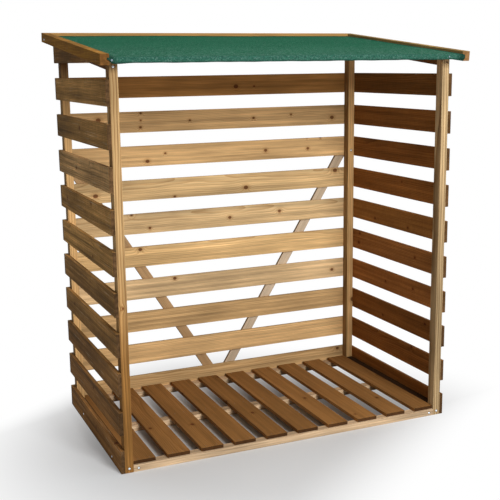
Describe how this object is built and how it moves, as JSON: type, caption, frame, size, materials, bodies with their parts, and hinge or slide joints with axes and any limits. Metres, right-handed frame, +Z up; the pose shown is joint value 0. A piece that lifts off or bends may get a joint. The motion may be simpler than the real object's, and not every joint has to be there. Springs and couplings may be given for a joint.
{
  "type": "timber log store",
  "caption": "Open-fronted timber log store with horizontally slatted sides and back, a slatted floor and a felted lean-to roof falling towards the front.",
  "frame": {"origin": "on the ground, under the middle of the whole store", "axes": "+Z up, +X to the right seen from the front, +Y from the open front to the slatted back"},
  "size_m": [1.568, 0.9984, 1.7137],
  "materials": {
    "frame_timber": "planed softwood, pressure treated, satin",
    "slat_timber": "planed softwood, pressure treated, knotty, satin",
    "floor_timber": "softwood boards, pressure treated, matt",
    "roof_deck_timber": "softwood boards, matt",
    "mineral_felt": "green mineral surfaced bitumen felt, matt and grainy",
    "trim_timber": "sawn softwood batten, pressure treated, matt",
    "steel_fixings": "bright zinc plated screws and nails"
  },
  "bodies": {
    "root": {"front_left_post": "frame_timber", "front_right_post": "frame_timber", "rear_left_post": "frame_timber", "rear_right_post": "frame_timber", "side_top_rails": "frame_timber", "side_bottom_rails": "frame_timber", "floor_front_rail": "frame_timber", "floor_rails": "frame_timber", "left_slat_01": "slat_timber", "left_slat_02": "slat_timber", "left_slat_03": "slat_timber", "left_slat_04": "slat_timber", "left_slat_05": "slat_timber", "left_slat_06": "slat_timber", "left_slat_07": "slat_timber", "left_slat_08": "slat_timber", "left_slat_09": "slat_timber", "left_slat_10": "slat_timber", "left_slat_11": "slat_timber", "right_slat_01": "slat_timber", "right_slat_02": "slat_timber", "right_slat_03": "slat_timber", "right_slat_04": "slat_timber", "right_slat_05": "slat_timber", "right_slat_06": "slat_timber", "right_slat_07": "slat_timber", "right_slat_08": "slat_timber", "right_slat_09": "slat_timber", "right_slat_10": "slat_timber", "right_slat_11": "slat_timber", "back_slat_01": "slat_timber", "back_slat_02": "slat_timber", "back_slat_03": "slat_timber", "back_slat_04": "slat_timber", "back_slat_05": "slat_timber", "back_slat_06": "slat_timber", "back_slat_07": "slat_timber", "back_slat_08": "slat_timber", "back_slat_09": "slat_timber", "back_slat_10": "slat_timber", "back_slat_11": "slat_timber", "back_braces": "slat_timber", "floor_slats": "floor_timber", "roof_deck": "roof_deck_timber", "roof_felt": "mineral_felt", "roof_left_trim": "trim_timber", "roof_right_trim": "trim_timber", "roof_back_trim": "trim_timber"}
  },
  "joints": []
}
